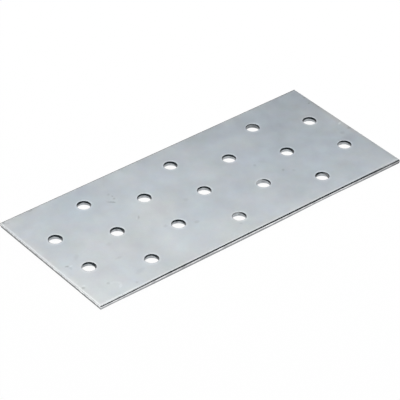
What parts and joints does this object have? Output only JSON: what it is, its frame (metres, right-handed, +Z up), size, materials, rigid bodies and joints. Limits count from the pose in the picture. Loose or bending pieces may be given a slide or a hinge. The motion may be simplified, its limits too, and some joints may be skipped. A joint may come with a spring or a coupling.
{
  "type": "mending plate",
  "caption": "Flat rectangular galvanised steel sheet with staggered rows of round nail holes, for joining timbers face to face.",
  "frame": {"origin": "middle of the underside", "axes": "+X along the length, towards the end that was cut from below, +Y across the width, +Z up through the thickness, out of the face that the holes were punched from"},
  "size_m": [0.14, 0.06, 0.002],
  "materials": {
    "galvanised_steel": "satin, zinc coated"
  },
  "bodies": {
    "root": {"plate": "galvanised_steel"}
  },
  "joints": []
}
